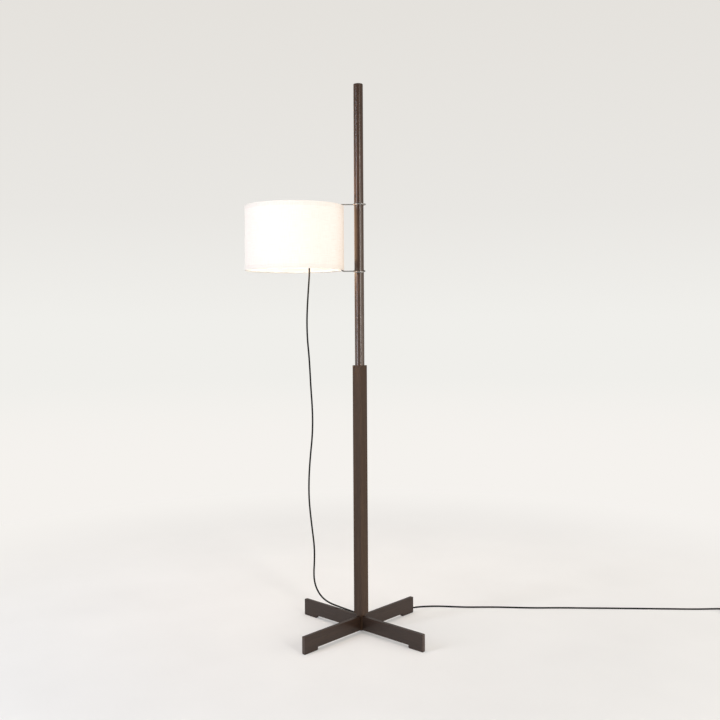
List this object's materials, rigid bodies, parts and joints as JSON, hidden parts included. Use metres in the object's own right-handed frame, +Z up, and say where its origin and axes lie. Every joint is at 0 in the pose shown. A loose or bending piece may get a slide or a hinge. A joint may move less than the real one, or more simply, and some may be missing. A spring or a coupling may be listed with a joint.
{
  "type": "floor lamp",
  "caption": "Wooden floor lamp with a crossed-board base, a square post, a round mast and a white drum shade that slides and turns on the mast on two wires.",
  "frame": {"origin": "on the floor, on the mast's axis, at the middle of the crossed boards", "axes": "+Z up along the mast, +X to the right as pictured (the shade is on the -X side), +Y away from the viewer"},
  "size_m": [1.6194, 0.4085, 1.66],
  "materials": {
    "dark_wood": "satin",
    "felt": "matte",
    "zinc_steel": "satin",
    "brass": "satin",
    "chrome_wire": "polished",
    "shade_fabric": "matte",
    "white_wire": "satin",
    "black_metal": "satin",
    "black_plastic": "satin",
    "ceramic": "gloss",
    "bulb_glass": "satin",
    "clear_glass": "gloss",
    "bulb_metal": "satin",
    "spring_steel": "satin",
    "pull_plastic": "satin",
    "cord_sheath": "satin"
  },
  "bodies": {
    "base": {"lower_board": "dark_wood", "upper_board": "dark_wood", "foot_pad_right_rear": "felt", "foot_pad_left_rear": "felt", "foot_pad_left_front": "felt", "foot_pad_right_front": "felt", "post": "dark_wood", "post_foot_insert": "brass", "base_washer": "zinc_steel", "base_bolt": "zinc_steel", "mast": "dark_wood", "post_top_insert": "brass", "mast_insert": "brass", "joint_stud": "zinc_steel", "cord_floor": "cord_sheath", "cord_coil": "cord_sheath", "cord_tie": "black_plastic", "plug_relief": "cord_sheath", "plug_body": "black_plastic", "plug_pins": "brass"},
    "cord_swing": {"cord_hanging": "cord_sheath"},
    "shade_unit": {"upper_wire": "chrome_wire", "lower_wire": "chrome_wire", "shade_drum": "shade_fabric", "spider_frame": "white_wire", "shade_bottom_hoop": "white_wire", "shade_spacer": "chrome_wire", "shade_screw": "chrome_wire", "shade_cap_nut": "chrome_wire", "holder_bracket": "black_metal", "stay_collar": "zinc_steel", "collar_grub_screw": "zinc_steel", "holder_nipple": "zinc_steel", "nipple_nut": "zinc_steel", "holder_cap": "black_plastic", "holder_skirt": "black_plastic", "holder_core": "ceramic", "thread_shell": "brass", "centre_contact": "brass", "bulb_glass": "bulb_glass", "bulb_cap": "bulb_metal", "bulb_tip": "bulb_metal", "bulb_insulator": "black_plastic", "bulb_stem": "clear_glass", "switch_body": "black_plastic", "switch_lid": "black_plastic", "switch_nut": "zinc_steel", "switch_contacts": "brass", "switch_leads": "cord_sheath", "return_spring": "spring_steel"},
    "pull": {"pull_sleeve": "pull_plastic", "contact_bridge": "brass"}
  },
  "joints": [
    {"name": "shade_swivel", "type": "hinge", "parent": "base", "child": "cord_swing", "pos_m": [0, 0, 0], "axis": [0, 0, 1], "range_deg": [-170, 170]},
    {"name": "shade_height", "type": "slide", "parent": "cord_swing", "child": "shade_unit", "axis": [0, 0, 1], "range_m": [-0.278, 0.35], "deforming": ["cord_hanging"]},
    {"name": "switch_pull", "type": "slide", "parent": "shade_unit", "child": "pull", "axis": [0, 0, -1], "range_m": [0, 0.005], "stiffness_N_per_m": 400, "springref_m": -0.004, "deforming": ["return_spring"]}
  ]
}
